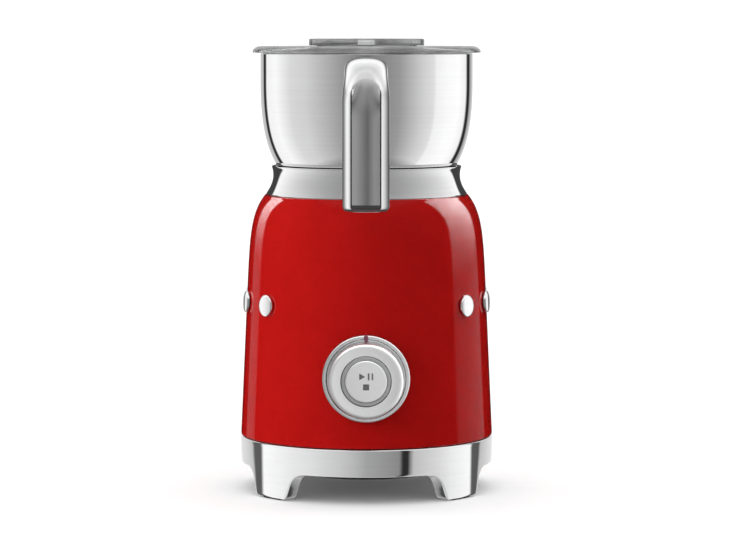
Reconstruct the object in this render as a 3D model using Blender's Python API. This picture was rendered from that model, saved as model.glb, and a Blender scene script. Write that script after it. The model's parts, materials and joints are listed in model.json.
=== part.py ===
"""Induction milk frother: a round base with a heating coil, a drive and a dial, and a lidded jug on top.

Metres, +Z up. The origin is on the surface the frother stands on, at the middle of its outline.
The jug's handle points to -Y, and so do the dial and its button.
Each sub-part is one object, parented to the empty of the body it moves with.
"""

import math

import bmesh
import bpy

MM = 0.001
GAP = 0.3 * MM  # kept between two pieces that rest on each other
LARGE, MEDIUM, SMALL = 36, 24, 12  # sides of a round piece, by its size

# Driving dimensions
HEIGHT = 248.0 * MM
BASE_R = 69.6 * MM  # the widest circle, at the top of the base ring
HANDLE_REACH = 101.6 * MM  # from the main axis to the front of the handle
AXIS_Y = (HANDLE_REACH - BASE_R) / 2  # the main axis, so that the outline is centred on the origin

# Base
LEG_BOTTOM = 0.8 * MM
LEG_INNER_R = 60.0 * MM
ARCH_TOP = 15.1 * MM
FRONT_ARCH_HALF = 42.0 * MM
SIDE_ARCH_HALF = 33.2 * MM
FOOT_ANGLE = 49.5  # degrees from the front or the back to the middle of a leg
LEDGE = 19.5 * MM
RING_TOP = 30.0 * MM
COVER_TOP = 22.3 * MM
SCREW_R = 54.0 * MM  # circle of the cover screws and of the posts they go into
GLAND_Y = 51.0 * MM

# Housing, collar and seat
TAPER_TOP = 117.0 * MM
TAPER_TOP_R = 65.5 * MM
HOUSING_TOP = 162.4 * MM
HOUSING_TOP_R = 55.9 * MM
HOUSING_WALL = 2.2 * MM
COLLAR_TOP = 178.4 * MM
SEAT_TOP = 167.3 * MM
SEAT_R = 48.2 * MM

# Drive and coil
SHAFT_R = 1.6 * MM
DECK_TOP = 150.0 * MM
SENSOR_X = 18.5 * MM

# Dial, measured outwards from the main axis
DIAL_Z = 68.2 * MM
BEZEL_R = 23.35 * MM
KNOB_R = 19.9 * MM
KNOB_FACE = 84.0 * MM
KNOB_ROUND = 1.8 * MM
SLEEVE_R = 13.3 * MM
BUTTON_R = 11.1 * MM
LENS_Y = 21.7 * MM  # the indicator lens sits above the knob

# Trim studs on the two sides
STUD_Z = 104.3 * MM
STUD_R = 6.0 * MM
STUD_ANGLES = (54, 78, 102, 126)

# Jug
JUG_R = 58.25 * MM
JUG_RIM = 240.0 * MM
JUG_BOTTOM = 170.3 * MM
JUG_WALL = 1.2 * MM
LIP_REACH = 6.0 * MM
LIP_SPREAD = 0.22  # radians
LIP_START = 212.0 * MM

# Handle
HANDLE_TOP = 238.6 * MM
HANDLE_BOTTOM = 158.8 * MM
HANDLE_BEND = 24.0 * MM
ARM_TILT = 7.0  # degrees that the arm drops towards the jug

# Lid and measuring cap
LID_R = 62.7 * MM
LID_TOP = 244.0 * MM
CAP_R = 31.75 * MM

# Colours (linear RGB), metallic, roughness
FINISHES = {
    "red_paint": ((0.45, 0.006, 0.007), 0.0, 0.15),
    "chrome": ((0.80, 0.81, 0.83), 1.0, 0.08),
    "satin_chrome": ((0.62, 0.63, 0.64), 1.0, 0.3),
    "polished_steel": ((0.66, 0.66, 0.67), 1.0, 0.16),
    "steel": ((0.50, 0.50, 0.51), 1.0, 0.35),
    "aluminium": ((0.72, 0.73, 0.75), 1.0, 0.4),
    "copper": ((0.80, 0.34, 0.16), 1.0, 0.4),
    "ferrite": ((0.05, 0.05, 0.055), 0.0, 0.6),
    "black_plastic": ((0.02, 0.02, 0.022), 0.0, 0.45),
    "white_plastic": ((0.75, 0.75, 0.72), 0.0, 0.5),
    "clear_plastic": ((0.78, 0.80, 0.81), 0.0, 0.05),
    "silicone": ((0.55, 0.55, 0.56), 0.0, 0.6),
    "rubber": ((0.03, 0.03, 0.03), 0.0, 0.8),
    "board_green": ((0.02, 0.16, 0.06), 0.0, 0.5),
    "red_lens": ((0.14, 0.01, 0.03), 0.0, 0.1),
}


# --- helpers --------------------------------------------------------------------------------------


def clear_scene():
    for obj in list(bpy.data.objects):
        bpy.data.objects.remove(obj)


def finish(name):
    """The Principled BSDF material of that name, made once."""
    made = bpy.data.materials.get(name)
    if made:
        return made
    colour, metallic, roughness = FINISHES[name]
    made = bpy.data.materials.new(name)
    made.use_nodes = True
    shader = made.node_tree.nodes["Principled BSDF"]
    shader.inputs["Base Color"].default_value = (*colour, 1)
    shader.inputs["Metallic"].default_value = metallic
    shader.inputs["Roughness"].default_value = roughness
    return made


def body(name, parent=None, location=(0, 0, 0), rotation=(0, 0, 0)):
    """An empty that the pieces of one moving body hang from."""
    empty = bpy.data.objects.new(name, None)
    empty.location = location
    empty.rotation_euler = rotation
    empty.parent = parent
    bpy.context.scene.collection.objects.link(empty)
    return empty


def piece(name, bm, material, parent, location=(0, 0, 0), rotation=(0, 0, 0)):
    """One named object from a bmesh, shaded smooth on its round faces."""
    bmesh.ops.recalc_face_normals(bm, faces=bm.faces)
    mesh = bpy.data.meshes.new(name)
    bm.to_mesh(mesh)
    bm.free()
    mesh.shade_smooth()
    mesh.set_sharp_from_angle(angle=math.radians(35))
    mesh.materials.append(finish(material))
    obj = bpy.data.objects.new(name, mesh)
    obj.parent = parent
    obj.location = location
    obj.rotation_euler = rotation
    bpy.context.scene.collection.objects.link(obj)
    return obj


def helper(obj):
    """Marks a cutter or a shape to be joined, which is no part by itself."""
    obj.hide_render = True
    obj.display_type = "WIRE"
    return obj


def combine(target, other, operation):
    helper(other)
    modifier = target.modifiers.new(f"{operation} {other.name}", "BOOLEAN")
    modifier.operation = operation
    modifier.object = other
    return target


def cut(target, other):
    return combine(target, other, "DIFFERENCE")


def join(target, other):
    return combine(target, other, "UNION")


def bezier(start, leave, arrive, end, steps):
    """Points of a cubic Bezier curve, both ends included."""
    points = []
    for i in range(steps + 1):
        t = i / steps
        weights = ((1 - t) ** 3, 3 * t * (1 - t) ** 2, 3 * t * t * (1 - t), t**3)
        points.append(
            tuple(sum(w * p[k] for w, p in zip(weights, (start, leave, arrive, end))) for k in (0, 1))
        )
    return points


def arc(centre, radius, first, last, steps):
    """Points of a circular arc, angles in degrees, both ends included."""
    angles = [math.radians(first + (last - first) * i / steps) for i in range(steps + 1)]
    return [(centre[0] + radius * math.cos(a), centre[1] + radius * math.sin(a)) for a in angles]


def in_mm(*points):
    return [(a * MM, b * MM) for a, b in points]


def turned(outline, sides):
    """A bmesh of a closed (radius, height) outline turned round Z. Points of radius 0 become poles."""
    bm = bmesh.new()
    rings = []
    for radius, height in outline:
        if radius < 1e-9:
            rings.append([bm.verts.new((0, 0, height))] * sides)
            continue
        turns = [2 * math.pi * k / sides for k in range(sides)]
        rings.append([bm.verts.new((radius * math.cos(a), radius * math.sin(a), height)) for a in turns])
    for lower, upper in zip(rings, rings[1:] + rings[:1]):
        for k in range(sides):
            corners = [lower[k], lower[(k + 1) % sides], upper[(k + 1) % sides], upper[k]]
            corners = list(dict.fromkeys(corners))
            if len(corners) > 2:
                bm.faces.new(corners)
    return bm


def prism(outline, low, high):
    """A bmesh of a closed outline in X and Y, extruded along Z."""
    bm = bmesh.new()
    bottom = [bm.verts.new((x, y, low)) for x, y in outline]
    top = [bm.verts.new((x, y, high)) for x, y in outline]
    bm.faces.new(bottom)
    bm.faces.new(top)
    for k in range(len(outline)):
        after = (k + 1) % len(outline)
        bm.faces.new((bottom[k], bottom[after], top[after], top[k]))
    return bm


def cylinder(radius, low, high, sides):
    return prism(arc((0, 0), radius, 0, 360, sides)[:-1], low, high)


def block(low, high):
    """A bmesh box between two corners."""
    (x0, y0, z0), (x1, y1, z1) = low, high
    return prism([(x0, y0), (x1, y0), (x1, y1), (x0, y1)], z0, z1)


def sector(inner, outer, middle, spread, low, high, steps=3):
    """A bmesh of a ring's sector; angles in degrees from -Y, the front, towards +X."""
    first = middle - spread / 2 - 90
    outline = arc((0, 0), inner, first, first + spread, steps)
    outline += arc((0, 0), outer, first + spread, first, steps)
    return prism(outline, low, high)


def coil_spring(radius, wire, low, high, turns):
    """A bmesh of a helical compression spring with closed ends."""
    sides, per_turn = 5, 10
    bm = bmesh.new()
    rings = []
    count = turns * per_turn
    for i in range(count + 1):
        angle = 2 * math.pi * i / per_turn
        height = low + wire + (high - low - 2 * wire) * i / count
        ring = []
        for k in range(sides):
            around = 2 * math.pi * k / sides
            reach = radius + wire * math.cos(around)
            point = (reach * math.cos(angle), reach * math.sin(angle), height + wire * math.sin(around))
            ring.append(bm.verts.new(point))
        rings.append(ring)
    for lower, upper in zip(rings, rings[1:]):
        for k in range(sides):
            after = (k + 1) % sides
            bm.faces.new((lower[k], lower[after], upper[after], upper[k]))
    bm.faces.new(rings[0])
    bm.faces.new(rings[-1])
    return bm


# --- outlines shared by several pieces ------------------------------------------------------------


def housing_curve(offset, steps):
    """The housing's (radius, height) line from its foot to its top edge, moved inwards by offset."""
    foot = (BASE_R - 0.15 * MM - offset, RING_TOP + GAP)
    taper_top = (TAPER_TOP_R - offset, TAPER_TOP)
    top = (HOUSING_TOP_R - offset, HOUSING_TOP - offset)
    leave = (taper_top[0] - 1.25 * MM, TAPER_TOP + 25 * MM)
    arrive = (top[0] + 7.4 * MM, top[1] - 9.4 * MM)
    return [foot, *bezier(taper_top, leave, arrive, top, steps)]


def jug_curve(offset, steps):
    """The jug's (radius, height) line from its rim to its flat bottom, moved inwards by offset."""
    rim = (JUG_R - offset, JUG_RIM)
    lip = (JUG_R - offset, 232 * MM)
    waist = (49.4 * MM - offset, 178.5 * MM)
    belly = bezier(
        (JUG_R - offset, 224 * MM), (JUG_R - offset, 204 * MM), (55.9 * MM - offset, 189.8 * MM), waist, steps
    )
    foot = (45.9 * MM - offset / 2, 172.6 * MM + offset / 2)
    return [rim, lip, *belly, foot, (43.0 * MM, JUG_BOTTOM + offset)]


def pour_lip(x, y, z):
    """How far the jug's wall is drawn out at a point, to make the pouring lip at +Y."""
    if z <= LIP_START:
        return 0.0
    rise = ((z - LIP_START) / (JUG_RIM - LIP_START)) ** 2
    return LIP_REACH * rise * math.exp(-((math.atan2(x, y) / LIP_SPREAD) ** 2))


# --- base -----------------------------------------------------------------------------------------


def arch_cutter(name, half_width, turn, parent):
    """An opening in the base ring between two legs, with rounded shoulders and sides that point to the axis.

    half_width is measured on the ring's outside, and turn is in degrees from the front.
    """
    shoulder = bezier(
        (half_width, 6.3 * MM),
        (half_width - 1.4 * MM, 11.1 * MM),
        (half_width - 3.8 * MM, ARCH_TOP),
        (half_width - 9.0 * MM, ARCH_TOP),
        5,
    )
    right = [(half_width + 2.5 * MM, -2 * MM), *shoulder]
    outline = right + [(-u, v) for u, v in reversed(right)]
    outside = BASE_R - 0.7 * MM
    bm = bmesh.new()
    rings = []
    for reach in (LEG_INNER_R * 0.6, BASE_R + 5 * MM):
        slopes = [(u / math.sqrt(outside**2 - u**2), z) for u, z in outline]
        rings.append([bm.verts.new((reach * slope, -reach, z)) for slope, z in slopes])
    for k in range(len(outline)):
        after = (k + 1) % len(outline)
        bm.faces.new((rings[0][k], rings[0][after], rings[1][after], rings[1][k]))
    bm.faces.new(rings[0])
    bm.faces.new(rings[1])
    return piece(name, bm, "chrome", parent, rotation=(0, 0, math.radians(turn)))


def foot_angles():
    """The four legs' names and directions."""
    return {
        "front_right": FOOT_ANGLE,
        "back_right": 180 - FOOT_ANGLE,
        "back_left": 180 + FOOT_ANGLE,
        "front_left": -FOOT_ANGLE,
    }


def make_base_ring(parent):
    """Chromed ring with four legs, and an inner ledge for the bottom cover. Rubber pads sit in the legs."""
    outline = [
        (LEG_INNER_R, LEG_BOTTOM),
        (BASE_R - 0.7 * MM, LEG_BOTTOM),
        (BASE_R, RING_TOP),
        (66 * MM, RING_TOP),
        (66 * MM, LEDGE),
        (LEG_INNER_R, LEDGE),
    ]
    ring = piece("base_ring", turned(outline, LARGE), "chrome", parent)
    cut(ring, arch_cutter("front_arch", FRONT_ARCH_HALF, 0, parent))
    cut(ring, arch_cutter("right_arch", SIDE_ARCH_HALF, 90, parent))
    cut(ring, arch_cutter("back_arch", FRONT_ARCH_HALF, 180, parent))
    cut(ring, arch_cutter("left_arch", SIDE_ARCH_HALF, 270, parent))
    for side, angle in foot_angles().items():
        pocket = sector(61.2 * MM, 68.0 * MM, angle, 12.6, -1 * MM, 2.4 * MM)
        cut(ring, piece(f"pocket_{side}", pocket, "rubber", parent))
        pad = sector(61.5 * MM, 67.7 * MM, angle, 12.0, 0, 2.1 * MM)
        piece(f"foot_pad_{side}", pad, "rubber", parent)


def screw_places():
    """Centres of the four posts and cover screws."""
    return [
        (SCREW_R * math.cos(math.radians(a)), SCREW_R * math.sin(math.radians(a)), 0)
        for a in (45, 135, 225, 315)
    ]


def make_bottom_cover(parent):
    """Moulded cover with cooling slots, the cord gland and four screws."""
    cover = piece("bottom_cover", cylinder(65.4 * MM, LEDGE + GAP, COVER_TOP, LARGE), "black_plastic", parent)
    below, above = 10 * MM, 40 * MM
    for k in range(8):
        slot = block((9 * MM, -1.5 * MM, below), (21 * MM, 1.5 * MM, above))
        turn = (0, 0, k * math.pi / 4)
        cut(cover, piece(f"vent_cutter_{k + 1}", slot, "black_plastic", parent, rotation=turn))
    gland_hole = cylinder(5.2 * MM, below, above, SMALL)
    cut(cover, piece("gland_hole", gland_hole, "rubber", parent, location=(0, GLAND_Y, 0)))
    screw = in_mm((0, 17.6), (3.4, 17.6), (3.6, 18.2), (3.6, 19.5), (1.9, 19.5), (1.9, 31), (0, 31))
    for k, place in enumerate(screw_places(), 1):
        hole = cylinder(2.2 * MM, below, 34 * MM, SMALL)
        cut(cover, piece(f"screw_hole_{k}", hole, "steel", parent, location=place))
        piece(f"base_screw_{k}", turned(screw, SMALL), "steel", parent, location=place)
    gland = in_mm((3.6, 14), (4.4, 14), (4.9, 18.5), (4.9, 22.6), (7.5, 22.6), (7.5, 24.2), (3.6, 24.2))
    piece("cord_gland", turned(gland, SMALL), "rubber", parent, location=(0, GLAND_Y, 0))


def make_cord_spool(parent):
    """Open drum with a flange under the cover, for winding up the mains cord."""
    outline = in_mm((27, 10), (41.5, 10), (42, 10.6), (42, 11.8), (29.5, 12.2), (29.5, 19.5), (27, 19.5))
    spool = piece("cord_spool", turned(outline, MEDIUM), "black_plastic", parent)
    for k, side in enumerate((-1, 1), 1):
        low, high = (side * 40 - 5, -3.5, 5), (side * 40 + 5, 3.5, 14)
        notch = block([v * MM for v in low], [v * MM for v in high])
        cut(spool, piece(f"spool_notch_{k}", notch, "black_plastic", parent))


def make_inner_chassis(parent):
    """Moulded frame: a deck for the coil and the motor, four posts, and a shelf for the power board."""
    hole, rim, underside = 8 * MM, 57 * MM, DECK_TOP - 4 * MM
    deck = [(hole, underside), (rim, underside), (rim, DECK_TOP), (hole, DECK_TOP)]
    chassis = piece("inner_chassis", turned(deck, MEDIUM), "white_plastic", parent)
    shelf = in_mm((42, 40), (52, 40), (52, 43.7), (42, 43.7))
    join(chassis, piece("board_shelf", turned(shelf, MEDIUM), "white_plastic", parent))
    for k, place in enumerate(screw_places(), 1):
        post = cylinder(4 * MM, COVER_TOP + GAP, DECK_TOP - 2 * MM, SMALL)
        join(chassis, piece(f"post_{k}", post, "white_plastic", parent, location=place))
    for k in range(1, 5):
        cut(chassis, bpy.data.objects[f"screw_hole_{k}"])


def make_housing(parent):
    """Painted aluminium casing, with a hole for the dial's sleeve."""
    outside = housing_curve(0, 6)
    inside = housing_curve(HOUSING_WALL, 4)
    mouth = 50.7 * MM
    flange = [(mouth, HOUSING_TOP), (mouth, HOUSING_TOP - HOUSING_WALL)]
    shell = piece("housing", turned(outside + flange + inside[::-1], LARGE), "red_paint", parent)
    hole = cylinder(SLEEVE_R + 0.9 * MM, 40 * MM, 90 * MM, MEDIUM)
    facing = (math.pi / 2, 0, 0)
    cut(shell, piece("dial_hole", hole, "red_paint", parent, location=(0, 0, DIAL_Z), rotation=facing))


def make_studs(parent):
    """Plain round trim studs in a row on each side of the housing."""
    taper = (BASE_R - TAPER_TOP_R) / (TAPER_TOP - RING_TOP)
    surface = TAPER_TOP_R + (TAPER_TOP - STUD_Z) * taper
    back = 0.7 * MM + GAP  # the flat back clears the round wall at the stud's edge
    outline = [(0, 0), (STUD_R, 0), (STUD_R, 1.5 * MM), (STUD_R - 0.8 * MM, 2.1 * MM), (0, 2.3 * MM)]
    for side, sign in (("right", 1), ("left", -1)):
        for k, angle in enumerate(STUD_ANGLES, 1):
            turn = math.radians(sign * angle)
            reach = surface + back - STUD_R**2 / (2 * surface)
            place = (reach * math.sin(turn), -reach * math.cos(turn), STUD_Z)
            lean = math.pi / 2 - math.atan(taper)
            piece(f"trim_stud_{side}_{k}", turned(outline, SMALL), "chrome", parent, place, (lean, 0, turn))


def make_collar(parent):
    """Waisted chrome collar that centres the jug, with a ledge inside for the seat plate."""
    foot, lip = in_mm((55.6, 162.7), (52.2, 177.9))
    leave, arrive = in_mm((52.6, 166.8), (50.2, 171.5))
    waist = bezier(foot, leave, arrive, lip, 6)
    top = [(51.8 * MM, COLLAR_TOP), (50.7 * MM, COLLAR_TOP)]
    inside = in_mm((50.2, 177.3), (48.5, 169), (48.5, 164), (46.5, 164), (46.5, 158.5), (50.3, 158.5))
    inside += in_mm((50.3, 162.7))
    piece("collar", turned(waist + top + inside, LARGE), "chrome", parent)


def make_seat_and_coil(parent):
    """The seat plate the jug stands on, and under it the induction coil on its former and ferrite plate."""
    bottom = SEAT_TOP - 3 * MM
    seat = piece("seat_plate", cylinder(SEAT_R, bottom, SEAT_TOP, LARGE), "black_plastic", parent)
    sensor_hole = cylinder(2.9 * MM, 150 * MM, 180 * MM, SMALL)
    cut(seat, piece("sensor_hole", sensor_hole, "steel", parent, location=(SENSOR_X, 0, 0)))
    rings = {
        "ferrite_plate": ("ferrite", [(26, 150.3), (42, 150.3), (42, 152.8), (26, 152.8)]),
        "coil_former": (
            "white_plastic",
            [(23, 153.1), (46, 153.1), (46, 161), (44.6, 161)]
            + [(44.6, 156), (24.4, 156), (24.4, 161), (23, 161)],
        ),
        "induction_coil": ("copper", [(24.7, 156.3), (44.3, 156.3), (44.3, 160.7), (24.7, 160.7)]),
    }
    for name, (material, outline) in rings.items():
        piece(name, turned(in_mm(*outline), MEDIUM), material, parent)


def make_motor(parent):
    """Motor casing under the deck, its end cap and the two bearings."""
    bore = 1.8
    rings = {
        "motor_can": (
            "steel",
            [(5.4, 145.7), (14, 145.7), (14, 110.3), (12.8, 110.3), (12.8, 144.2), (5.4, 144.2)],
        ),
        "motor_end_cap": ("black_plastic", [(5.4, 107.5), (14, 107.5), (14, 110), (5.4, 110)]),
        "upper_bearing": ("steel", [(bore, 143), (5.1, 143), (5.1, 147), (bore, 147)]),
        "lower_bearing": ("steel", [(bore, 106.8), (5.1, 106.8), (5.1, 110.8), (bore, 110.8)]),
    }
    for name, (material, outline) in rings.items():
        piece(name, turned(in_mm(*outline), 16), material, parent)


def make_fan_frame(parent):
    """Ring of the cooling fan with three struts to the hub that carries its motor."""
    ring = in_mm((24, 24.6), (26.5, 24.6), (26.5, 34.6), (24, 34.6))
    frame = piece("fan_frame", turned(ring, MEDIUM), "black_plastic", parent)
    hub = cylinder(8.5 * MM, 24.6 * MM, 27 * MM, SMALL)
    for k in range(3):
        strut = block((6 * MM, -1.2 * MM, 24.7 * MM), (25 * MM, 1.2 * MM, 26.4 * MM))
        turn = (0, 0, 2 * math.pi * k / 3)
        join(frame, piece(f"fan_strut_{k + 1}", strut, "black_plastic", parent, rotation=turn))
    join(frame, piece("fan_hub", hub, "black_plastic", parent))


def make_electronics(parent):
    """Round power board with a finned heat sink and a filter capacitor, and the board behind the dial."""
    top = 45.6 * MM
    piece("power_board", cylinder(46 * MM, 44 * MM, top, MEDIUM), "board_green", parent)
    fins, pitch, fin = 6, 7.6, 1.8
    comb = [(0, 0), (fins * pitch - pitch + fin, 0)]
    for k in reversed(range(fins)):
        comb += [(k * pitch + fin, 24), (k * pitch, 24)]
        if k:
            comb += [(k * pitch, 4), (k * pitch - pitch + fin, 4)]
    sink = prism(in_mm(*comb), -15 * MM, 15 * MM)
    corner = (-34 * MM, 8 * MM, top + GAP)
    piece("heat_sink", sink, "aluminium", parent, location=corner, rotation=(math.pi / 2, 0, 0))
    capacitor = block((14 * MM, -4 * MM, top + GAP), (30 * MM, 22 * MM, 66 * MM))
    piece("filter_capacitor", capacitor, "black_plastic", parent)
    board = block((-24 * MM, -51.3 * MM, 44.5 * MM), (24 * MM, -49.7 * MM, 91.5 * MM))
    piece("control_board", board, "board_green", parent)


def make_dial(parent, base):
    """Fixed parts of the dial: chrome bezel on the housing, sleeve through it, and the red indicator lens."""
    edge = BEZEL_R / MM
    skirt = in_mm((14, 69.4), (20.9, 69.4), (20.9, 60), (edge, 60))
    face = in_mm((edge, 71.4), (edge - 0.6, 72.1), (21.5, 72.1), (20.7, 71.5), (19.4, 71.0), (14, 71.0))
    bezel = piece("bezel", turned(skirt + face, LARGE), "satin_chrome", parent)
    around = [(radius + GAP, height) for radius, height in housing_curve(0, 6)]
    solid = turned([(0, around[0][1]), *around, (0, around[-1][1])], LARGE)
    cut(bezel, piece("housing_clearance", solid, "red_paint", base))
    sleeve = in_mm((11.4, 52), (17, 52), (17, 54), (13.3, 54), (13.3, 83.5), (11.4, 83.5))
    piece("dial_sleeve", turned(sleeve, MEDIUM), "satin_chrome", parent)
    oval = [(1.2 * x, 1.5 * y) for x, y in arc((0, 0), MM, 0, 360, 12)[:-1]]
    lens = prism(oval, 72.4 * MM, 72.9 * MM)
    piece("indicator_lens", lens, "red_lens", parent, location=(0, LENS_Y, 0))


def make_knob(parent):
    """Turning ring of the dial with a rounded front edge."""
    inner = SLEEVE_R + 0.4 * MM
    shoulder = arc((KNOB_R - KNOB_ROUND, KNOB_FACE - KNOB_ROUND), KNOB_ROUND, 0, 90, 3)
    outline = [(inner, 71.6 * MM), (KNOB_R, 71.6 * MM), *shoulder, (inner, KNOB_FACE)]
    piece("control_knob", turned(outline, LARGE), "satin_chrome", parent)


def make_button(parent):
    """Push button inside the sleeve, and the spring that returns it."""
    rim = BUTTON_R / MM
    outline = in_mm((0, 60), (rim, 60), (rim, 84.0), (rim - 0.4, 84.5), (0, 84.8))
    piece("start_button", turned(outline, MEDIUM), "satin_chrome", parent)


# --- moving bodies inside the base ----------------------------------------------------------------


def make_rotor(parent):
    """What the motor turns: shaft, armature, and the drive rotor with its ring magnet."""
    piece("motor_shaft", cylinder(SHAFT_R, 104 * MM, 161.5 * MM, SMALL), "steel", parent)
    rings = {
        "motor_armature": ("copper", [(1.9, 113), (10.5, 113), (10.5, 140), (1.9, 140)]),
        "drive_rotor": (
            "white_plastic",
            [(1.9, 155.5), (14, 155.5), (14, 162.5), (12.8, 162.5)]
            + [(12.8, 159), (6.8, 159), (6.8, 162.5), (1.9, 162.5)],
        ),
        "drive_magnet": ("ferrite", [(7.1, 159.3), (12.5, 159.3), (12.5, 162.3), (7.1, 162.3)]),
    }
    for name, (material, outline) in rings.items():
        piece(name, turned(in_mm(*outline), 16), material, parent)


def make_fan(parent):
    """Impeller with seven pitched blades."""
    impeller = piece("fan_impeller", cylinder(8 * MM, 27.4 * MM, 33.6 * MM, SMALL), "black_plastic", parent)
    blades = bmesh.new()
    count, pitch = 7, math.radians(32)
    for k in range(count):
        turn = 2 * math.pi * k / count
        corners = []
        for along, across, thick in [(x, y, z) for x in (7, 22.6) for y in (-4, 4) for z in (-0.5, 0.5)]:
            y = across * math.cos(pitch) - thick * math.sin(pitch)
            z = across * math.sin(pitch) + thick * math.cos(pitch) + 30.5
            x, y = along * math.cos(turn) - y * math.sin(turn), along * math.sin(turn) + y * math.cos(turn)
            corners.append(blades.verts.new((x * MM, y * MM, z * MM)))
        for face in ((0, 1, 3, 2), (4, 6, 7, 5), (0, 4, 5, 1), (2, 3, 7, 6), (0, 2, 6, 4), (1, 5, 7, 3)):
            blades.faces.new([corners[i] for i in face])
    join(impeller, piece("fan_blades", blades, "black_plastic", parent))


def make_sensor(parent):
    """Spring-loaded temperature sensor that touches the bottom of the jug."""
    outline = in_mm((0, 159.5), (3.6, 159.5), (3.6, 161.2), (2.5, 161.2), (2.5, 166.8), (2.1, 167.3))
    outline += [(0, SEAT_TOP)]
    piece("sensor_button", turned(outline, SMALL), "aluminium", parent)


# --- jug, whisk, lid and cap ----------------------------------------------------------------------


def make_jug(parent):
    """Steel jug with a pouring lip, and the magnetic heating disc under it."""
    inner = jug_curve(JUG_WALL, 5)
    outline = [*jug_curve(0, 6), (0, JUG_BOTTOM), (0, JUG_BOTTOM + JUG_WALL), *inner[::-1]]
    pot = turned(outline, LARGE)
    for vert in pot.verts:
        x, y, z = vert.co
        reach = math.hypot(x, y)
        if reach > 0:
            drawn = 1 + pour_lip(x, y, z) / reach
            vert.co = (x * drawn, y * drawn, z)
    piece("jug_pot", pot, "polished_steel", parent)
    disc = in_mm((0, 167.6), (40.4, 167.6), (41, 168.2), (41, 170), (0, 170))
    piece("heating_disc", turned(disc, MEDIUM), "steel", parent)
    pin = in_mm((0, 171.8), (4.5, 171.8), (4.5, 172.6), (2, 173.2), (2, 184), (1.4, 184.8), (0, 184.8))
    piece("whisk_pin", turned(pin, SMALL), "steel", parent)


def handle_stations():
    """Points of the handle's outer face, from the jug to the free end.

    Each is (y, z, normal y, normal z, bend), where bend grows from 0 on the arm to 1 on the grip.
    """
    centre = (-(HANDLE_REACH - HANDLE_BEND), HANDLE_TOP - HANDLE_BEND)
    tilt = math.radians(ARM_TILT)
    y, z = centre[0] + HANDLE_BEND * math.sin(tilt), centre[1] + HANDLE_BEND * math.cos(tilt)
    stations = [(-50 * MM, z - (-50 * MM - y) * math.tan(tilt), math.sin(tilt), math.cos(tilt), 0.0)]
    for i, (y, z) in enumerate(arc(centre, HANDLE_BEND, 90 - ARM_TILT, 180, 5)):
        stations.append((y, z, (y - centre[0]) / HANDLE_BEND, (z - centre[1]) / HANDLE_BEND, i / 5))
    stations.append((-HANDLE_REACH, HANDLE_BOTTOM + 2.5 * MM, -1.0, 0.0, 1.0))
    return stations


def make_handle(parent):
    """Hook-shaped handle: a rounded arm leaves the jug, bends down into a flat-fronted grip and ends free."""
    arm = in_mm((-7.5, 0), (7.5, 0), (10.4, -2.2), (11.2, -9), (9.0, -13), (-9.0, -13))
    arm += in_mm((-11.2, -9), (-10.4, -2.2))
    grip = in_mm((-8.2, 0), (8.2, 0), (12.4, -3.0), (12.4, -10.5), (9.8, -13), (-9.8, -13))
    grip += in_mm((-12.4, -10.5), (-12.4, -3.0))
    bm = bmesh.new()
    rings = []
    for y, z, out_y, out_z, bend in handle_stations():
        section = [(a[0] + (g[0] - a[0]) * bend, a[1] + (g[1] - a[1]) * bend) for a, g in zip(arm, grip)]
        rings.append([bm.verts.new((x, y + n * out_y, z + n * out_z)) for x, n in section])
    shrunk, middle = 0.78, 6.5 * MM
    end = [(x * shrunk, (n + middle) * shrunk - middle) for x, n in grip]
    rings.append([bm.verts.new((x, -HANDLE_REACH - n, HANDLE_BOTTOM)) for x, n in end])
    for upper, lower in zip(rings, rings[1:]):
        for k in range(len(grip)):
            after = (k + 1) % len(grip)
            bm.faces.new((upper[k], upper[after], lower[after], lower[k]))
    bm.faces.new(rings[0])
    bm.faces.new(rings[-1])
    handle = piece("handle", bm, "satin_chrome", parent)
    jug_space = cylinder(JUG_R + GAP, 200 * MM, 260 * MM, LARGE)
    cut(handle, piece("jug_clearance", jug_space, "steel", parent))


def make_whisk(parent):
    """Frothing disc that turns on the pin: moulded hub with a ring magnet, and a wire ring round it."""
    hub = in_mm((2.4, 173.4), (20.4, 173.4), (20.4, 174.2), (16, 174.8), (16, 178.6), (7, 180))
    hub += in_mm((5.4, 182), (5.4, 190), (4.4, 191), (0, 191), (0, 185.4), (2.4, 185.4))
    hub_piece = piece("whisk_hub", turned(hub, MEDIUM), "black_plastic", parent)
    groove = in_mm((7, 170), (13.6, 170), (13.6, 177), (7, 177))
    cut(hub_piece, piece("magnet_groove", turned(groove, MEDIUM), "ferrite", parent))
    magnet = in_mm((7.4, 173.5), (13.2, 173.5), (13.2, 176.7), (7.4, 176.7))
    piece("whisk_magnet", turned(magnet, MEDIUM), "ferrite", parent)
    wire = arc((19.2 * MM, 177.2 * MM), 2.6 * MM, 0, 315, 7)
    piece("whisk_ring", turned(wire, MEDIUM), "steel", parent)


def make_lid(parent):
    """Clear lid with an overhanging brim and a plug wall, and the seal round the plug."""
    brim = bezier((57.6 * MM, LID_TOP), (60.6 * MM, LID_TOP), (62.5 * MM, 242.6 * MM), (LID_R, 240.7 * MM), 4)
    under = in_mm((62.3, 240.3), (55.3, 240.3), (55.3, 237.2), (54.3, 236.6), (54.3, 231.8), (55.3, 231.2))
    under += in_mm((55.3, 229.8), (53.6, 229.8), (53.6, 241.6), (29.8, 241.6), (29.8, 236.5), (28, 236.5))
    under += [(28 * MM, LID_TOP)]
    piece("lid", turned(brim + under, LARGE), "clear_plastic", parent)
    seal = in_mm((54.6, 232), (55.6, 232.2), (56.7, 232.8), (56.7, 235.4), (55.6, 236.2), (54.6, 236.4))
    piece("lid_seal", turned(seal, LARGE), "silicone", parent)


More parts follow.
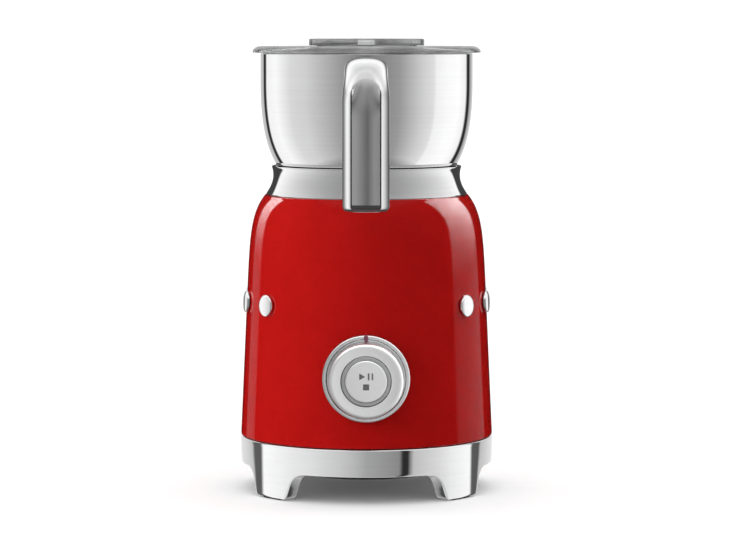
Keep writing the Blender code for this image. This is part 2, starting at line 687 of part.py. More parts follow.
def make_cap(parent):
    """Measuring cap: a cup open at the bottom, with two finger wells and a grip bar across its top."""
    top = HEIGHT / MM
    edge = CAP_R / MM
    outline = in_mm((0, 234), (25.6, 234), (25.6, 245.5), (29.9, 245.5), (29.9, 247.8), (30.2, top))
    outline += in_mm((edge - 0.4, top), (edge, 247.5), (edge, 244.3), (27.4, 244.3))
    outline += in_mm((27.4, 222), (25.6, 222), (25.6, 232.5), (0, 232.5))
    cap = piece("measuring_cap", turned(outline, 32), "clear_plastic", parent)
    right = in_mm((26.5, 233.4), (26.5, 244.9), (30.2, 244.9), (30.2, top - 0.1))
    bar = prism(right + [(-y, z) for y, z in reversed(right)], -4.4 * MM, 4.4 * MM)
    join(cap, piece("grip_bar", bar, "clear_plastic", parent, rotation=(math.pi / 2, 0, math.pi / 2)))


# --- assembly -------------------------------------------------------------------------------------


def main():
    clear_scene()
    base = body("base", location=(0, AXIS_Y, 0))
    make_base_ring(base)
    make_bottom_cover(base)
    make_cord_spool(base)
    make_inner_chassis(base)
    make_housing(base)
    make_studs(base)
    make_collar(base)
    make_seat_and_coil(base)
    make_motor(base)
    make_fan_frame(base)
    make_electronics(base)
    spring = coil_spring(2.2 * MM, 0.35 * MM, DECK_TOP + GAP, 159.2 * MM, 5)
    piece("sensor_spring", spring, "steel", base, location=(SENSOR_X, 0, 0))

    facing = (math.pi / 2, 0, 0)  # the dial's own Z points out of the front
    dial_place = (0, 0, DIAL_Z)
    dial = body("dial", base, dial_place, facing)
    make_dial(dial, base)
    piece("button_spring", coil_spring(5 * MM, 0.5 * MM, 51.6 * MM, 59.7 * MM, 4), "steel", dial)
    make_knob(body("knob", base, dial_place, facing))
    make_button(body("button", base, dial_place, facing))

    make_rotor(body("rotor", base))
    make_fan(body("fan", base))
    make_sensor(body("sensor", base, (SENSOR_X, 0, 0)))
    jug = body("jug", base)
    make_jug(jug)
    make_handle(jug)
    make_whisk(body("whisk", jug))
    lid = body("lid_body", jug)
    make_lid(lid)
    make_cap(body("cap", lid))


main()
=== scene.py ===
import json
import math

import bmesh
import bpy
from mathutils import Matrix, Vector

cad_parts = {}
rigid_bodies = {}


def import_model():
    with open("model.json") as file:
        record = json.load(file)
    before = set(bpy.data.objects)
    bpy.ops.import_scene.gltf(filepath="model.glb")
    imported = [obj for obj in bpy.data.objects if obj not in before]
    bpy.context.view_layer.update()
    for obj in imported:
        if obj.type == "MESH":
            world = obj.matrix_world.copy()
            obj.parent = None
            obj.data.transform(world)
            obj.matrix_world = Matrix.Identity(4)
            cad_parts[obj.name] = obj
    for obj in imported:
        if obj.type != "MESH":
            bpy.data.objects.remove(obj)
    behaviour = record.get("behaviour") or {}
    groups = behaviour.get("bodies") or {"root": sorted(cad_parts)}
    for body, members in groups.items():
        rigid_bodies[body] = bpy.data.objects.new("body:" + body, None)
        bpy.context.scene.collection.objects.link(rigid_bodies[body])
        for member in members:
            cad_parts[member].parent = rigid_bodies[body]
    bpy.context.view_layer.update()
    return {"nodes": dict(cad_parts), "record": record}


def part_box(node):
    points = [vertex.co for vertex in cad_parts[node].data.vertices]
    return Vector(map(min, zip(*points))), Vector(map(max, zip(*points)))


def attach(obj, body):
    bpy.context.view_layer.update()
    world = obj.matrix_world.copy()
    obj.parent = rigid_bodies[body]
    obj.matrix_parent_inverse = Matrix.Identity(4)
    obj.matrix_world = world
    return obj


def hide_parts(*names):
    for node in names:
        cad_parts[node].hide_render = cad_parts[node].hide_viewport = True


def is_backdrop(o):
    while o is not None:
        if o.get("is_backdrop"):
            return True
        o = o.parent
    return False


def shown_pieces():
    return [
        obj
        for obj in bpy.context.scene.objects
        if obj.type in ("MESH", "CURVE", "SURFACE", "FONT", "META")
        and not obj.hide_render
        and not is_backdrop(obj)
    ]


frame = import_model()

# Lengths are in millimetres until a mesh is made, and radii are measured from the machine's axis.
MM = 0.001
FINE = 192  # sides of a large round piece
MEDIUM = 96
SMALL = 40


def low(node, axis):
    """The lowest coordinate of a CAD node, in mm."""
    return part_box(node)[0][axis] / MM


def high(node, axis):
    """The highest coordinate of a CAD node, in mm."""
    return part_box(node)[1][axis] / MM


# Driving dimensions, read from the frame
AXIS_Y = (low("housing", 1) + high("housing", 1)) / 2 * MM  # metres
BASE_R = high("base_ring", 0)
RING_TOP = high("base_ring", 2)
LEG_BOTTOM = low("base_ring", 2)
HOUSING_FOOT = low("housing", 2)
HOUSING_TOP = high("housing", 2)
COLLAR_FOOT_R = high("collar", 0)
COLLAR_TOP = high("collar", 2)
SEAT_TOP = high("seat_plate", 2)
SEAT_R = high("seat_plate", 0)
DIAL_Z = (low("bezel", 2) + high("bezel", 2)) / 2
BEZEL_R = high("bezel", 0)
KNOB_R = high("control_knob", 0)
KNOB_FACE = AXIS_Y / MM - low("control_knob", 1)
BUTTON_R = high("start_button", 0)
BUTTON_FACE = AXIS_Y / MM - low("start_button", 1)
JUG_R = high("jug_pot", 0)
JUG_RIM = high("jug_pot", 2)
JUG_BOTTOM = low("jug_pot", 2)
HANDLE_REACH = AXIS_Y / MM - low("handle", 1)
HANDLE_TOP = high("handle", 2)
HANDLE_BOTTOM = low("handle", 2)
LID_R = high("lid", 0)
LID_TOP = high("lid", 2)
CAP_R = high("measuring_cap", 0)
CAP_TOP = high("measuring_cap", 2)

# Dimensions of the finer shapes
HOUSING_TOP_R = 55.9
TAPER_TOP, TAPER_TOP_R = 117.0, 65.5
HOUSING_WALL = 2.2
HOUSING_MOUTH_R = 50.7
LEG_INNER_R = 60.0
LEDGE = 19.5
JUG_WALL = 1.2
LIP_START = 212.0
LIP_REACH = 6.0
LIP_SPREAD = 0.22  # radians
HANDLE_BEND = 24.0
SLEEVE_R = 13.15
KNOB_HOLE_R = 13.45

ON_AXIS = Matrix.Translation((0, AXIS_Y, 0))
ON_DIAL = Matrix.Translation((0, AXIS_Y, DIAL_Z * MM)) @ Matrix.Rotation(math.pi / 2, 4, "X")


# --- outlines -------------------------------------------------------------------------------------


def bezier(start, leave, arrive, end, steps):
    """Points of a cubic Bezier curve, both ends included."""
    points = []
    for i in range(steps + 1):
        t = i / steps
        weights = ((1 - t) ** 3, 3 * t * (1 - t) ** 2, 3 * t * t * (1 - t), t**3)
        points.append(
            tuple(sum(w * p[k] for w, p in zip(weights, (start, leave, arrive, end))) for k in (0, 1))
        )
    return points


def arc(centre, radius, first, last, steps):
    """Points of a circular arc, angles in degrees, both ends included."""
    angles = [math.radians(first + (last - first) * i / steps) for i in range(steps + 1)]
    return [(centre[0] + radius * math.cos(a), centre[1] + radius * math.sin(a)) for a in angles]


def line(start, end, steps):
    """Evenly spaced points of a straight line, both ends included."""
    return [tuple(a + (b - a) * i / steps for a, b in zip(start, end)) for i in range(steps + 1)]


def rounded(corners, steps=5):
    """A closed outline with rounded corners: a corner is (a, b), or (a, b, radius)."""
    points = []
    for i, corner in enumerate(corners):
        here = Vector(corner[:2])
        if len(corner) < 3:
            points.append(tuple(here))
            continue
        back = Vector(corners[i - 1][:2]) - here
        ahead = Vector(corners[(i + 1) % len(corners)][:2]) - here
        room = 0.48 * min(back.length, ahead.length)
        half = back.angle(ahead) / 2
        reach = min(corner[2] / math.tan(half), room)
        radius = reach * math.tan(half)
        centre = here + (back.normalized() + ahead.normalized()).normalized() * radius / math.sin(half)
        first = here + back.normalized() * reach - centre
        last = here + ahead.normalized() * reach - centre
        sweep = math.atan2(first.cross(last), first.dot(last))
        for k in range(steps + 1):
            turn = sweep * k / steps
            x = first.x * math.cos(turn) - first.y * math.sin(turn)
            y = first.x * math.sin(turn) + first.y * math.cos(turn)
            points.append((centre.x + x, centre.y + y))
    return points


# --- meshes ---------------------------------------------------------------------------------------


def turned(outline, sides):
    """A bmesh of a closed (radius, height) outline turned round Z. Points of radius 0 become poles."""
    bm = bmesh.new()
    rings = []
    for radius, height in outline:
        if radius < 1e-6:
            rings.append([bm.verts.new((0, 0, height))] * sides)
            continue
        turns = [2 * math.pi * k / sides for k in range(sides)]
        rings.append([bm.verts.new((radius * math.cos(a), radius * math.sin(a), height)) for a in turns])
    for lower, upper in zip(rings, rings[1:] + rings[:1]):
        for k in range(sides):
            corners = [lower[k], lower[(k + 1) % sides], upper[(k + 1) % sides], upper[k]]
            corners = list(dict.fromkeys(corners))
            if len(corners) > 2:
                bm.faces.new(corners)
    return bm


def prism(outline, bottom, top):
    """A bmesh of a closed outline in X and Y, extruded along Z."""
    bm = bmesh.new()
    lower = [bm.verts.new((x, y, bottom)) for x, y in outline]
    upper = [bm.verts.new((x, y, top)) for x, y in outline]
    bm.faces.new(lower)
    bm.faces.new(upper)
    for k in range(len(outline)):
        after = (k + 1) % len(outline)
        bm.faces.new((lower[k], lower[after], upper[after], upper[k]))
    return bm


def cylinder(radius, bottom, top, sides):
    return prism(arc((0, 0), radius, 0, 360, sides)[:-1], bottom, top)


def loft(rings, closed_ends=True):
    """A bmesh through rings of 3D points, each with the same number of points."""
    bm = bmesh.new()
    loops = [[bm.verts.new(point) for point in ring] for ring in rings]
    for one, two in zip(loops, loops[1:]):
        for k in range(len(one)):
            after = (k + 1) % len(one)
            bm.faces.new((one[k], one[after], two[after], two[k]))
    if closed_ends:
        bm.faces.new(loops[0])
        bm.faces.new(loops[-1])
    return bm


def mesh_object(name, bm, place):
    """An object whose mesh is the bmesh in mm, moved into the frame in metres."""
    bmesh.ops.recalc_face_normals(bm, faces=bm.faces)
    mesh = bpy.data.meshes.new(name)
    bm.to_mesh(mesh)
    bm.free()
    mesh.transform(place @ Matrix.Scale(MM, 4))
    obj = bpy.data.objects.new(name, mesh)
    bpy.context.scene.collection.objects.link(obj)
    return obj


def carve(obj, bm, place, operation="DIFFERENCE"):
    """Cuts the bmesh out of an object, or joins it on, and keeps the result as the object's mesh."""
    tool = mesh_object("tool", bm, place)
    modifier = obj.modifiers.new("carve", "BOOLEAN")
    modifier.operation = operation
    modifier.object = tool
    evaluated = obj.evaluated_get(bpy.context.evaluated_depsgraph_get())
    result = bpy.data.meshes.new_from_object(evaluated)
    obj.modifiers.clear()
    old = obj.data
    obj.data = result
    result.name = old.name
    bpy.data.meshes.remove(old)
    bpy.data.objects.remove(tool)
    return obj


def piece(name, shape, material, body, replaced=(), place=ON_AXIS, sharp=32):
    """A finished piece: it rides on its body, takes the finish given and stands for the CAD nodes named."""
    obj = shape if isinstance(shape, bpy.types.Object) else mesh_object(name, shape, place)
    obj.name = name
    obj.data.materials.clear()
    obj.data.materials.append(material)
    obj.data.shade_smooth()
    obj.data.set_sharp_from_angle(angle=math.radians(sharp))
    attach(obj, body)
    if replaced:
        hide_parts(*replaced)
    return obj


# --- materials ------------------------------------------------------------------------------------


def node(tree, kind, inputs=None, **settings):
    """A shader node; an input is a value or the socket that feeds it."""
    made = tree.nodes.new(kind)
    for key, value in settings.items():
        setattr(made, key, value)
    for socket, value in (inputs or {}).items():
        if isinstance(value, bpy.types.NodeSocket):
            tree.links.new(value, made.inputs[socket])
        else:
            made.inputs[socket].default_value = value
    return made


def noise(tree, stretch, scale, detail=4.0, shift=0.0):
    """A noise pattern on the piece's own coordinates, stretched along its axes."""
    coords = node(tree, "ShaderNodeTexCoord").outputs["Object"]
    spot = {"Vector": coords, "Scale": stretch, "Location": (shift, shift, shift)}
    placed = node(tree, "ShaderNodeMapping", spot).outputs["Vector"]
    made = node(tree, "ShaderNodeTexNoise", {"Vector": placed, "Scale": scale, "Detail": detail})
    return made.outputs["Fac"]


def ranged(tree, value, low_end, high_end, first=0.3, last=0.7):
    """A value from first..last spread over low_end..high_end."""
    spread = {"Value": value, "From Min": first, "From Max": last, "To Min": low_end, "To Max": high_end}
    return node(tree, "ShaderNodeMapRange", spread).outputs["Result"]


def mixed(tree, factor, one, two):
    """A colour between two colours or colour sockets."""
    made = node(tree, "ShaderNodeMix", data_type="RGBA")
    for index, value in ((0, factor), (6, one), (7, two)):
        if isinstance(value, bpy.types.NodeSocket):
            tree.links.new(value, made.inputs[index])
        else:
            made.inputs[index].default_value = value
    return made.outputs[2]


def surface(name, dark, light, roughness, grain, relief=0.0, blotch=60.0, **sockets):
    """A procedural finish.

    dark and light are the colours its fine variation runs between, roughness the range it runs over,
    grain the stretch of its texture (metres to pattern), relief its depth in mm.
    """
    made = bpy.data.materials.new(name)
    made.use_nodes = True
    tree = made.node_tree
    shader = tree.nodes["Principled BSDF"]
    broad = noise(tree, (1, 1, 1), blotch, 3.0, 0.3)
    fine = noise(tree, grain, 1.0, 6.0)
    both = node(tree, "ShaderNodeMath", {0: broad, 1: fine}, operation="ADD").outputs[0]
    tone = ranged(tree, both, 0.0, 1.0, 0.75, 1.25)
    tree.links.new(mixed(tree, tone, (*dark, 1), (*light, 1)), shader.inputs["Base Color"])
    tree.links.new(ranged(tree, both, *roughness, 0.7, 1.3), shader.inputs["Roughness"])
    if relief:
        bump = {"Height": fine, "Strength": 1.0, "Distance": relief * MM}
        tree.links.new(node(tree, "ShaderNodeBump", bump).outputs["Normal"], shader.inputs["Normal"])
    for socket, value in sockets.items():
        shader.inputs[socket.replace("_", " ")].default_value = value
    return made


def grey(value, tint=0.0):
    return (value - tint, value, value + tint)


def make_materials():
    """Every finish by its slot, and a few variants."""
    around = (6, 6, 900)  # fine lines round the axis
    even = (700, 700, 700)
    finishes = {
        "red_paint": surface(
            "red_paint", (0.214, 0.0034, 0.0030), (0.231, 0.0042, 0.0036), (0.28, 0.38), (350, 350, 350),
            0.0008, Specular_IOR_Level=0.0, Coat_Weight=1.0, Coat_Roughness=0.02, Coat_IOR=1.5,
        ),
        "chrome": surface(
            "chrome", grey(0.85), grey(0.89, 0.004), (0.03, 0.045), (40, 40, 500), 0.00001, Metallic=1.0
        ),
        # darker metal for the ring's faces towards the floor and the inside: painted shade
        "ring_inside": surface(
            "ring_inside", grey(0.32), grey(0.42, 0.003), (0.10, 0.18), (300, 300, 300), 0.0002, Metallic=1.0
        ),
        "satin_chrome": surface(
            "satin_chrome", grey(0.74), grey(0.82, 0.004), (0.10, 0.16), (500, 500, 500), 0.0001,
            Metallic=1.0,
        ),
        "dial_face": surface(
            "dial_face", grey(0.76), grey(0.80, 0.003), (0.28, 0.34), (900, 90, 900), 0.0002, Metallic=1.0
        ),
        "dial_ring": surface(
            "dial_ring", grey(0.36), grey(0.44, 0.003), (0.34, 0.46), (1200, 160, 1200), 0.001, Metallic=1.0
        ),
        "dial_rim": surface(
            "dial_rim", grey(0.55), grey(0.60, 0.003), (0.20, 0.26), (400, 400, 400), 0.00002, Metallic=1.0
        ),
        "polished_steel": surface(
            "polished_steel", grey(0.84), grey(0.88, 0.002), (0.035, 0.045), around, 0.000005, Metallic=1.0
        ),
        "handle_steel": surface(
            "handle_steel", grey(0.84), grey(0.88, 0.002), (0.06, 0.10), (300, 300, 60), 0.00008,
            Metallic=1.0,
        ),
        "steel": surface("steel", grey(0.46), grey(0.58), (0.28, 0.42), around, 0.001, Metallic=1.0),
        "aluminium": surface(
            "aluminium", grey(0.66), grey(0.76, 0.01), (0.32, 0.45), even, 0.002, Metallic=1.0
        ),
        "copper": surface(
            "copper", (0.60, 0.22, 0.09), (0.86, 0.40, 0.20), (0.25, 0.4), (2600, 2600, 2600), 0.06,
            Metallic=1.0,
        ),
        "ferrite": surface("ferrite", grey(0.035), grey(0.075), (0.5, 0.7), (1500, 1500, 1500), 0.02),
        "black_plastic": surface(
            "black_plastic", grey(0.016), grey(0.028), (0.38, 0.52), (1600, 1600, 1600), 0.012
        ),
        "white_plastic": surface(
            "white_plastic", grey(0.68), grey(0.76), (0.42, 0.55), (900, 900, 900), 0.006
        ),
        # its grey tint and fine light and dark bands up the height are painted reflection: the dim, streaky
        # surroundings seen through the lid
        "clear_plastic": surface(
            "clear_plastic", grey(0.26), grey(0.72, 0.004), (0.02, 0.05), (13, 13, 1400), 0.0004,
            Transmission_Weight=0.8, IOR=1.49,
        ),
        "silicone": surface("silicone", grey(0.46), grey(0.56), (0.5, 0.62), (800, 800, 800), 0.005),
        "rubber": surface("rubber", grey(0.018), grey(0.035), (0.62, 0.8), (1200, 1200, 1200), 0.02),
        "board_green": surface(
            "board_green", (0.010, 0.10, 0.035), (0.02, 0.20, 0.07), (0.3, 0.5), (400, 400, 90), 0.02
        ),
        "red_lens": surface(
            "red_lens", (0.05, 0.004, 0.018), (0.11, 0.01, 0.035), (0.05, 0.12), (300, 300, 300), 0.001,
            Coat_Weight=0.6,
        ),
        "icon_ink": surface("icon_ink", grey(0.06), grey(0.10), (0.45, 0.6), (900, 900, 900), 0.004),
    }
    return finishes


FINISH = make_materials()


# --- base -----------------------------------------------------------------------------------------

FRONT_ARCH_HALF, SIDE_ARCH_HALF = 42.0, 33.2
ARCH_TOP = 15.1
SHOULDER_END = 6.3  # height where an arch's rounded shoulder meets the leg's straight side
ARCH_EDGE = 0.7  # width of the rounded edge along the arches


def arch_outline(half):
    """Half an arch from its crown to the flat of the leg, as (distance from the middle, height)."""
    points = line((0, ARCH_TOP), (half - 9, ARCH_TOP), 24)[:-1]
    end = (half, SHOULDER_END)
    points += bezier((half - 9, ARCH_TOP), (half - 3.8, ARCH_TOP), (half - 1.4, 11.1), end, 16)
    points += line(end, (half + 1.2, 2.4), 4)[1:-1]
    flat = (half + 3.4, LEG_BOTTOM)
    points += bezier((half + 1.2, 2.4), (half + 1.6, 1.2), (half + 2.1, LEG_BOTTOM), flat, 6)
    return points


def arch_columns(radius):
    """The lower edge of the ring all the way round, as (angle from -Y, height), from its outside radius."""
    front = [(math.asin(u / radius), z) for u, z in arch_outline(FRONT_ARCH_HALF)]
    side = [(math.pi / 2 - math.asin(u / radius), z) for u, z in arch_outline(SIDE_ARCH_HALF)]
    foot = line(front[-1], side[-1], 8)[1:-1]
    quarter = front + foot + side[::-1]
    mirrored = [(math.pi - a, z) for a, z in reversed(quarter[:-1])]
    right = quarter + mirrored
    left = [(2 * math.pi - a, z) for a, z in reversed(right[1:-1])]
    return right + left


def edge_offset(columns, radius, amount):
    """The columns moved into the metal by amount, square to the lower edge."""
    moved = []
    count = len(columns)
    for i, (angle, height) in enumerate(columns):
        before, after = columns[i - 1], columns[(i + 1) % count]
        run = (after[0] - before[0] + math.pi) % (2 * math.pi) - math.pi
        along = Vector((run * radius, after[1] - before[1])).normalized()
        moved.append((angle - along.y * amount / radius, height + along.x * amount))
    return moved


def ring_row(columns, radius, height=None, offset=0.0):
    """Points round the ring at one radius: along its lower edge, moved in by offset, or at one height."""
    placed = edge_offset(columns, radius, offset) if offset else columns
    if height is not None:
        placed = [(angle, height) for angle, _ in columns]
    return [(radius * math.sin(angle), -radius * math.cos(angle), z) for angle, z in placed]


def make_leg_ring():
    """Polished band on four legs, and the lining under and inside it, duller and darker with painted shade.
    """
    outer, inner, edge = BASE_R - 0.35, LEG_INNER_R, ARCH_EDGE
    lower = arch_columns(outer)
    band = [ring_row(lower, 66.0, RING_TOP - 0.2), ring_row(lower, 66.3, RING_TOP)]
    for radius, height in arc((BASE_R - 1.1, RING_TOP - 1.1), 1.1, 90, 0, 6):
        band.append(ring_row(lower, radius, height))
    band += [ring_row(lower, BASE_R - 0.04, 27.5), ring_row(lower, BASE_R - 0.12, 22.0)]
    band += [ring_row(lower, outer + 0.03, offset=edge * 1.9), ring_row(lower, outer, offset=edge)]
    band += [ring_row(lower, outer - edge * 0.29, offset=edge * 0.29), ring_row(lower, outer - edge)]
    ring = loft(band, closed_ends=False)
    piece("leg_ring", ring, FINISH["chrome"], "base", ["base_ring"], sharp=38)
    # the lining takes the darker metal: painted shade under and inside the ring
    lining = [ring_row(lower, outer - edge), ring_row(lower, inner + edge)]
    lining += [ring_row(lower, inner + edge * 0.29, offset=edge * 0.29), ring_row(lower, inner, offset=edge)]
    lining += [ring_row(lower, inner, LEDGE), ring_row(lower, 66.0, LEDGE), band[0]]
    lining = loft(lining, closed_ends=False)
    piece("leg_lining", lining, FINISH["ring_inside"], "base", ["base_ring"], sharp=38)


def housing_line(offset, steps):
    """The housing's (radius, height) line from its foot to its top edge, moved inwards by offset."""
    foot = (BASE_R - 0.15 - offset, HOUSING_FOOT)
    taper_top = (TAPER_TOP_R - offset, TAPER_TOP)
    top = (HOUSING_TOP_R - offset, HOUSING_TOP - offset)
    leave = (taper_top[0] - 1.25, TAPER_TOP + 25)
    arrive = (top[0] + 7.4, top[1] - 9.4)
    return [foot, *bezier(taper_top, leave, arrive, top, steps)]


def make_housing():
    outside = housing_line(0, 40)
    foot, taper_top = outside[0], outside[1]
    rise = Vector((taper_top[0] - foot[0], taper_top[1] - foot[1])).normalized()
    start = (foot[0] + rise.x * 0.9, foot[1] + 0.9)
    foot_edge = bezier((foot[0] - 0.9, foot[1]), (foot[0] - 0.2, foot[1]), (foot[0], foot[1] + 0.2), start, 6)
    top_r = outside[-1][0]
    top_end = (HOUSING_TOP_R - 0.8, HOUSING_TOP)
    top_edge = bezier(outside[-2], (top_r + 0.2, HOUSING_TOP), (top_r, HOUSING_TOP), top_end, 6)
    wall = line(start, taper_top, 30)
    inside = housing_line(HOUSING_WALL, 12)[::-1]
    mouth = [(HOUSING_MOUTH_R, HOUSING_TOP), (HOUSING_MOUTH_R, HOUSING_TOP - HOUSING_WALL)]
    outline = foot_edge + wall[1:] + outside[2:-2] + top_edge + mouth + inside
    shell = mesh_object("housing_shell", turned(outline, FINE), ON_AXIS)
    carve(shell, cylinder(SLEEVE_R + 0.9, 40, 90, MEDIUM), ON_DIAL)
    piece("housing_shell", shell, FINISH["red_paint"], "base", ["housing"])


def make_base():
    make_leg_ring()
    make_housing()
    foot = HOUSING_TOP + 0.3
    waist = bezier((COLLAR_FOOT_R, foot), (52.6, 166.8), (50.2, 171.5), (52.0, COLLAR_TOP - 1.0), 24)
    bead = arc((51.6, COLLAR_TOP - 0.5), 0.5, -20, 90, 5) + arc((50.5, COLLAR_TOP - 0.5), 0.5, 90, 180, 5)
    inside = [(50.0, COLLAR_TOP - 2.5), (48.5, 169), (48.5, 164), (46.5, 164)]
    inside += [(46.5, 158.5), (50.3, 158.5)]
    outline = [(50.3, foot), (COLLAR_FOOT_R - 0.5, foot)] + waist[1:] + bead + inside
    piece("jug_collar", turned(outline, FINE), FINISH["chrome"], "base", ["collar"])


def make_seat():
    """Seat plate with shallow moulded rings and the sensor's hole."""
    corners = [(0, SEAT_TOP - 3), (SEAT_R, SEAT_TOP - 3, 0.4), (SEAT_R, SEAT_TOP, 0.8)]
    for ring in (44, 40, 36, 32, 28):
        corners += [(ring + 0.5, SEAT_TOP, 0.2), (ring + 0.2, SEAT_TOP - 0.5, 0.1)]
        corners += [(ring - 0.2, SEAT_TOP - 0.5, 0.1), (ring - 0.5, SEAT_TOP, 0.2)]
    corners.append((0, SEAT_TOP))
    plate = mesh_object("seat_disc", turned(rounded(corners, 3), FINE), ON_AXIS)
    spot = ON_AXIS @ Matrix.Translation((18.5 * MM, 0, 0))
    carve(plate, cylinder(2.9, 150, 180, SMALL), spot)
    piece("seat_disc", plate, FINISH["black_plastic"], "base", ["seat_plate"])
    button = [(0, 159.5), (3.6, 159.5, 0.2), (3.6, 161.2, 0.2), (2.5, 161.2, 0.2)]
    button += [(2.5, SEAT_TOP, 0.7), (0, SEAT_TOP)]
    piece(
        "sensor_tip", turned(rounded(button), SMALL), FINISH["aluminium"], "sensor",
        ["sensor_button"], spot,
    )


STUD_R, STUD_RISE = 5.9, 2.3


def make_studs():
    """Domed trim studs: each stands where its CAD stud stands, square to the taper."""
    lean = math.pi / 2 - math.atan((BASE_R - TAPER_TOP_R) / (TAPER_TOP - RING_TOP))
    dome = bezier((STUD_R, 0.9), (5.7, 1.9), (3.2, STUD_RISE), (0, STUD_RISE), 12)
    outline = [(0, 0), (STUD_R, 0)] + dome
    for side, sign in (("right", 1), ("left", -1)):
        for k in range(1, 5):
            name = f"trim_stud_{side}_{k}"
            lowest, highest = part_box(name)
            middle = (lowest + highest) / 2
            turn = math.atan2(middle.x, AXIS_Y - middle.y)
            facing = Matrix.Rotation(turn, 4, "Z") @ Matrix.Rotation(lean, 4, "X")
            foot = middle - facing.to_3x3() @ Vector((0, 0, STUD_RISE / 2 * MM))
            place = Matrix.Translation(foot) @ facing
            stud = turned(outline, SMALL)
            piece(f"stud_{side}_{k}", stud, FINISH["chrome"], "base", [name], place)


# --- dial -----------------------------------------------------------------------------------------


def make_dial():
    face = 72.1
    skirt = [(BEZEL_R - 2.6, 60), (BEZEL_R, 60), (BEZEL_R, face, 1.1)]
    steps = [(21.4, face, 0.3), (20.9, face - 0.7, 0.2), (20.0, face - 0.7, 0.2)]
    steps += [(19.6, face - 1.1, 0.1), (14, face - 1.1), (14, 69.4), (BEZEL_R - 2.6, 69.4)]
    bezel = mesh_object("dial_bezel", turned(rounded(skirt + steps), FINE), ON_DIAL)
    around = [(radius + 0.3, height) for radius, height in housing_line(0, 12)]
    solid = turned([(0, around[0][1]), *around, (0, around[-1][1])], FINE)
    carve(bezel, solid, ON_AXIS)
    piece("dial_bezel", bezel, FINISH["dial_rim"], "base", ["bezel"])

    sleeve = [(11.25, 52), (17, 52), (17, 54), (SLEEVE_R, 54), (SLEEVE_R, 83.7, 0.3), (11.25, 83.7, 0.1)]
    piece(
        "button_sleeve", turned(rounded(sleeve), MEDIUM), FINISH["dial_ring"], "base",
        ["dial_sleeve"], ON_DIAL,
    )
    low_face = KNOB_FACE - 0.35
    crown = bezier((18.0, KNOB_FACE), (17.2, KNOB_FACE - 0.05), (15.5, low_face), (13.5, low_face), 8)
    knob = [(KNOB_HOLE_R, 71.6), (KNOB_R, 71.6, 0.2), (KNOB_R, 79.0)]
    knob += arc((KNOB_R - 1.8, KNOB_FACE - 1.8), 1.8, 0, 84, 8)
    outline = rounded(knob + crown + [(KNOB_HOLE_R, KNOB_FACE - 0.6)])
    piece(
        "dial_knob", turned(outline, FINE), FINISH["dial_face"], "knob", ["control_knob"],
        ON_DIAL,
    )
    edge = [(0, 60), (BUTTON_R, 60), (BUTTON_R, 83.9)]
    edge += bezier((BUTTON_R, 84.0), (BUTTON_R, 84.4), (BUTTON_R - 0.25, 84.6), (BUTTON_R - 0.7, 84.63), 8)
    dish = bezier((BUTTON_R - 0.8, 84.64), (7, 84.74), (3, BUTTON_FACE), (0, BUTTON_FACE), 10)
    piece(
        "push_button", turned(edge + dish, MEDIUM), FINISH["dial_face"], "button",
        ["start_button"], ON_DIAL,
    )
    make_icons()
    oval = [(1.25 * x, 1.85 * y) for x, y in arc((0, 0), 1, 0, 360, 24)[:-1]]
    lens = loft(
        [[(x * k, y * k, z) for x, y in oval] for k, z in ((1, 71.5), (1, 72.3), (0.8, 72.75), (0.4, 72.95))]
    )
    place = ON_DIAL @ Matrix.Translation((0, 21.7 * MM, 0))
    piece("lamp_lens", lens, FINISH["red_lens"], "base", ["indicator_lens"], place)


def make_icons():
    """Start and stop marks on the button: a triangle with two bars, and a square."""
    bottom, top = BUTTON_FACE - 0.4, BUTTON_FACE + 0.02
    shapes = {
        "start_mark": [(-3.6, 0.9), (-0.4, 2.75), (-3.6, 4.6)],
        "start_bar_1": [(0.9, 0.9), (1.8, 0.9), (1.8, 4.6), (0.9, 4.6)],
        "start_bar_2": [(2.9, 0.9), (3.8, 0.9), (3.8, 4.6), (2.9, 4.6)],
        "stop_mark": [(-1.6, -4.4), (1.6, -4.4), (1.6, -1.2), (-1.6, -1.2)],
    }
    for name, corners in shapes.items():
        outline = rounded([(x, y, 0.25) for x, y in corners], 3)
        piece(name, prism(outline, bottom, top), FINISH["icon_ink"], "button", (), ON_DIAL)


# --- jug ------------------------------------------------------------------------------------------


def jug_line(offset, steps):
    """The jug's (radius, height) line from under its rim to its flat bottom, moved inwards by offset."""
    wall = line((JUG_R - offset, JUG_RIM - 0.7), (JUG_R - offset, 224), 16)
    waist = (49.4 - offset, 178.5)
    belly = bezier(wall[-1], (JUG_R - offset, 204), (55.9 - offset, 189.8), waist, steps)
    flat = JUG_BOTTOM + offset
    foot = bezier(waist, (47.7 - offset, 175.0), (46.6 - offset, flat), (43.0, flat), 8)
    return wall + belly[1:] + foot[1:]


def pour_lip(x, y, z):
    """How far the jug's wall is drawn out at a point, to make the pouring lip at +Y."""
    if z <= LIP_START:
        return 0.0
    rise = ((z - LIP_START) / (JUG_RIM - LIP_START)) ** 2
    return LIP_REACH * rise * math.exp(-((math.atan2(x, y) / LIP_SPREAD) ** 2))


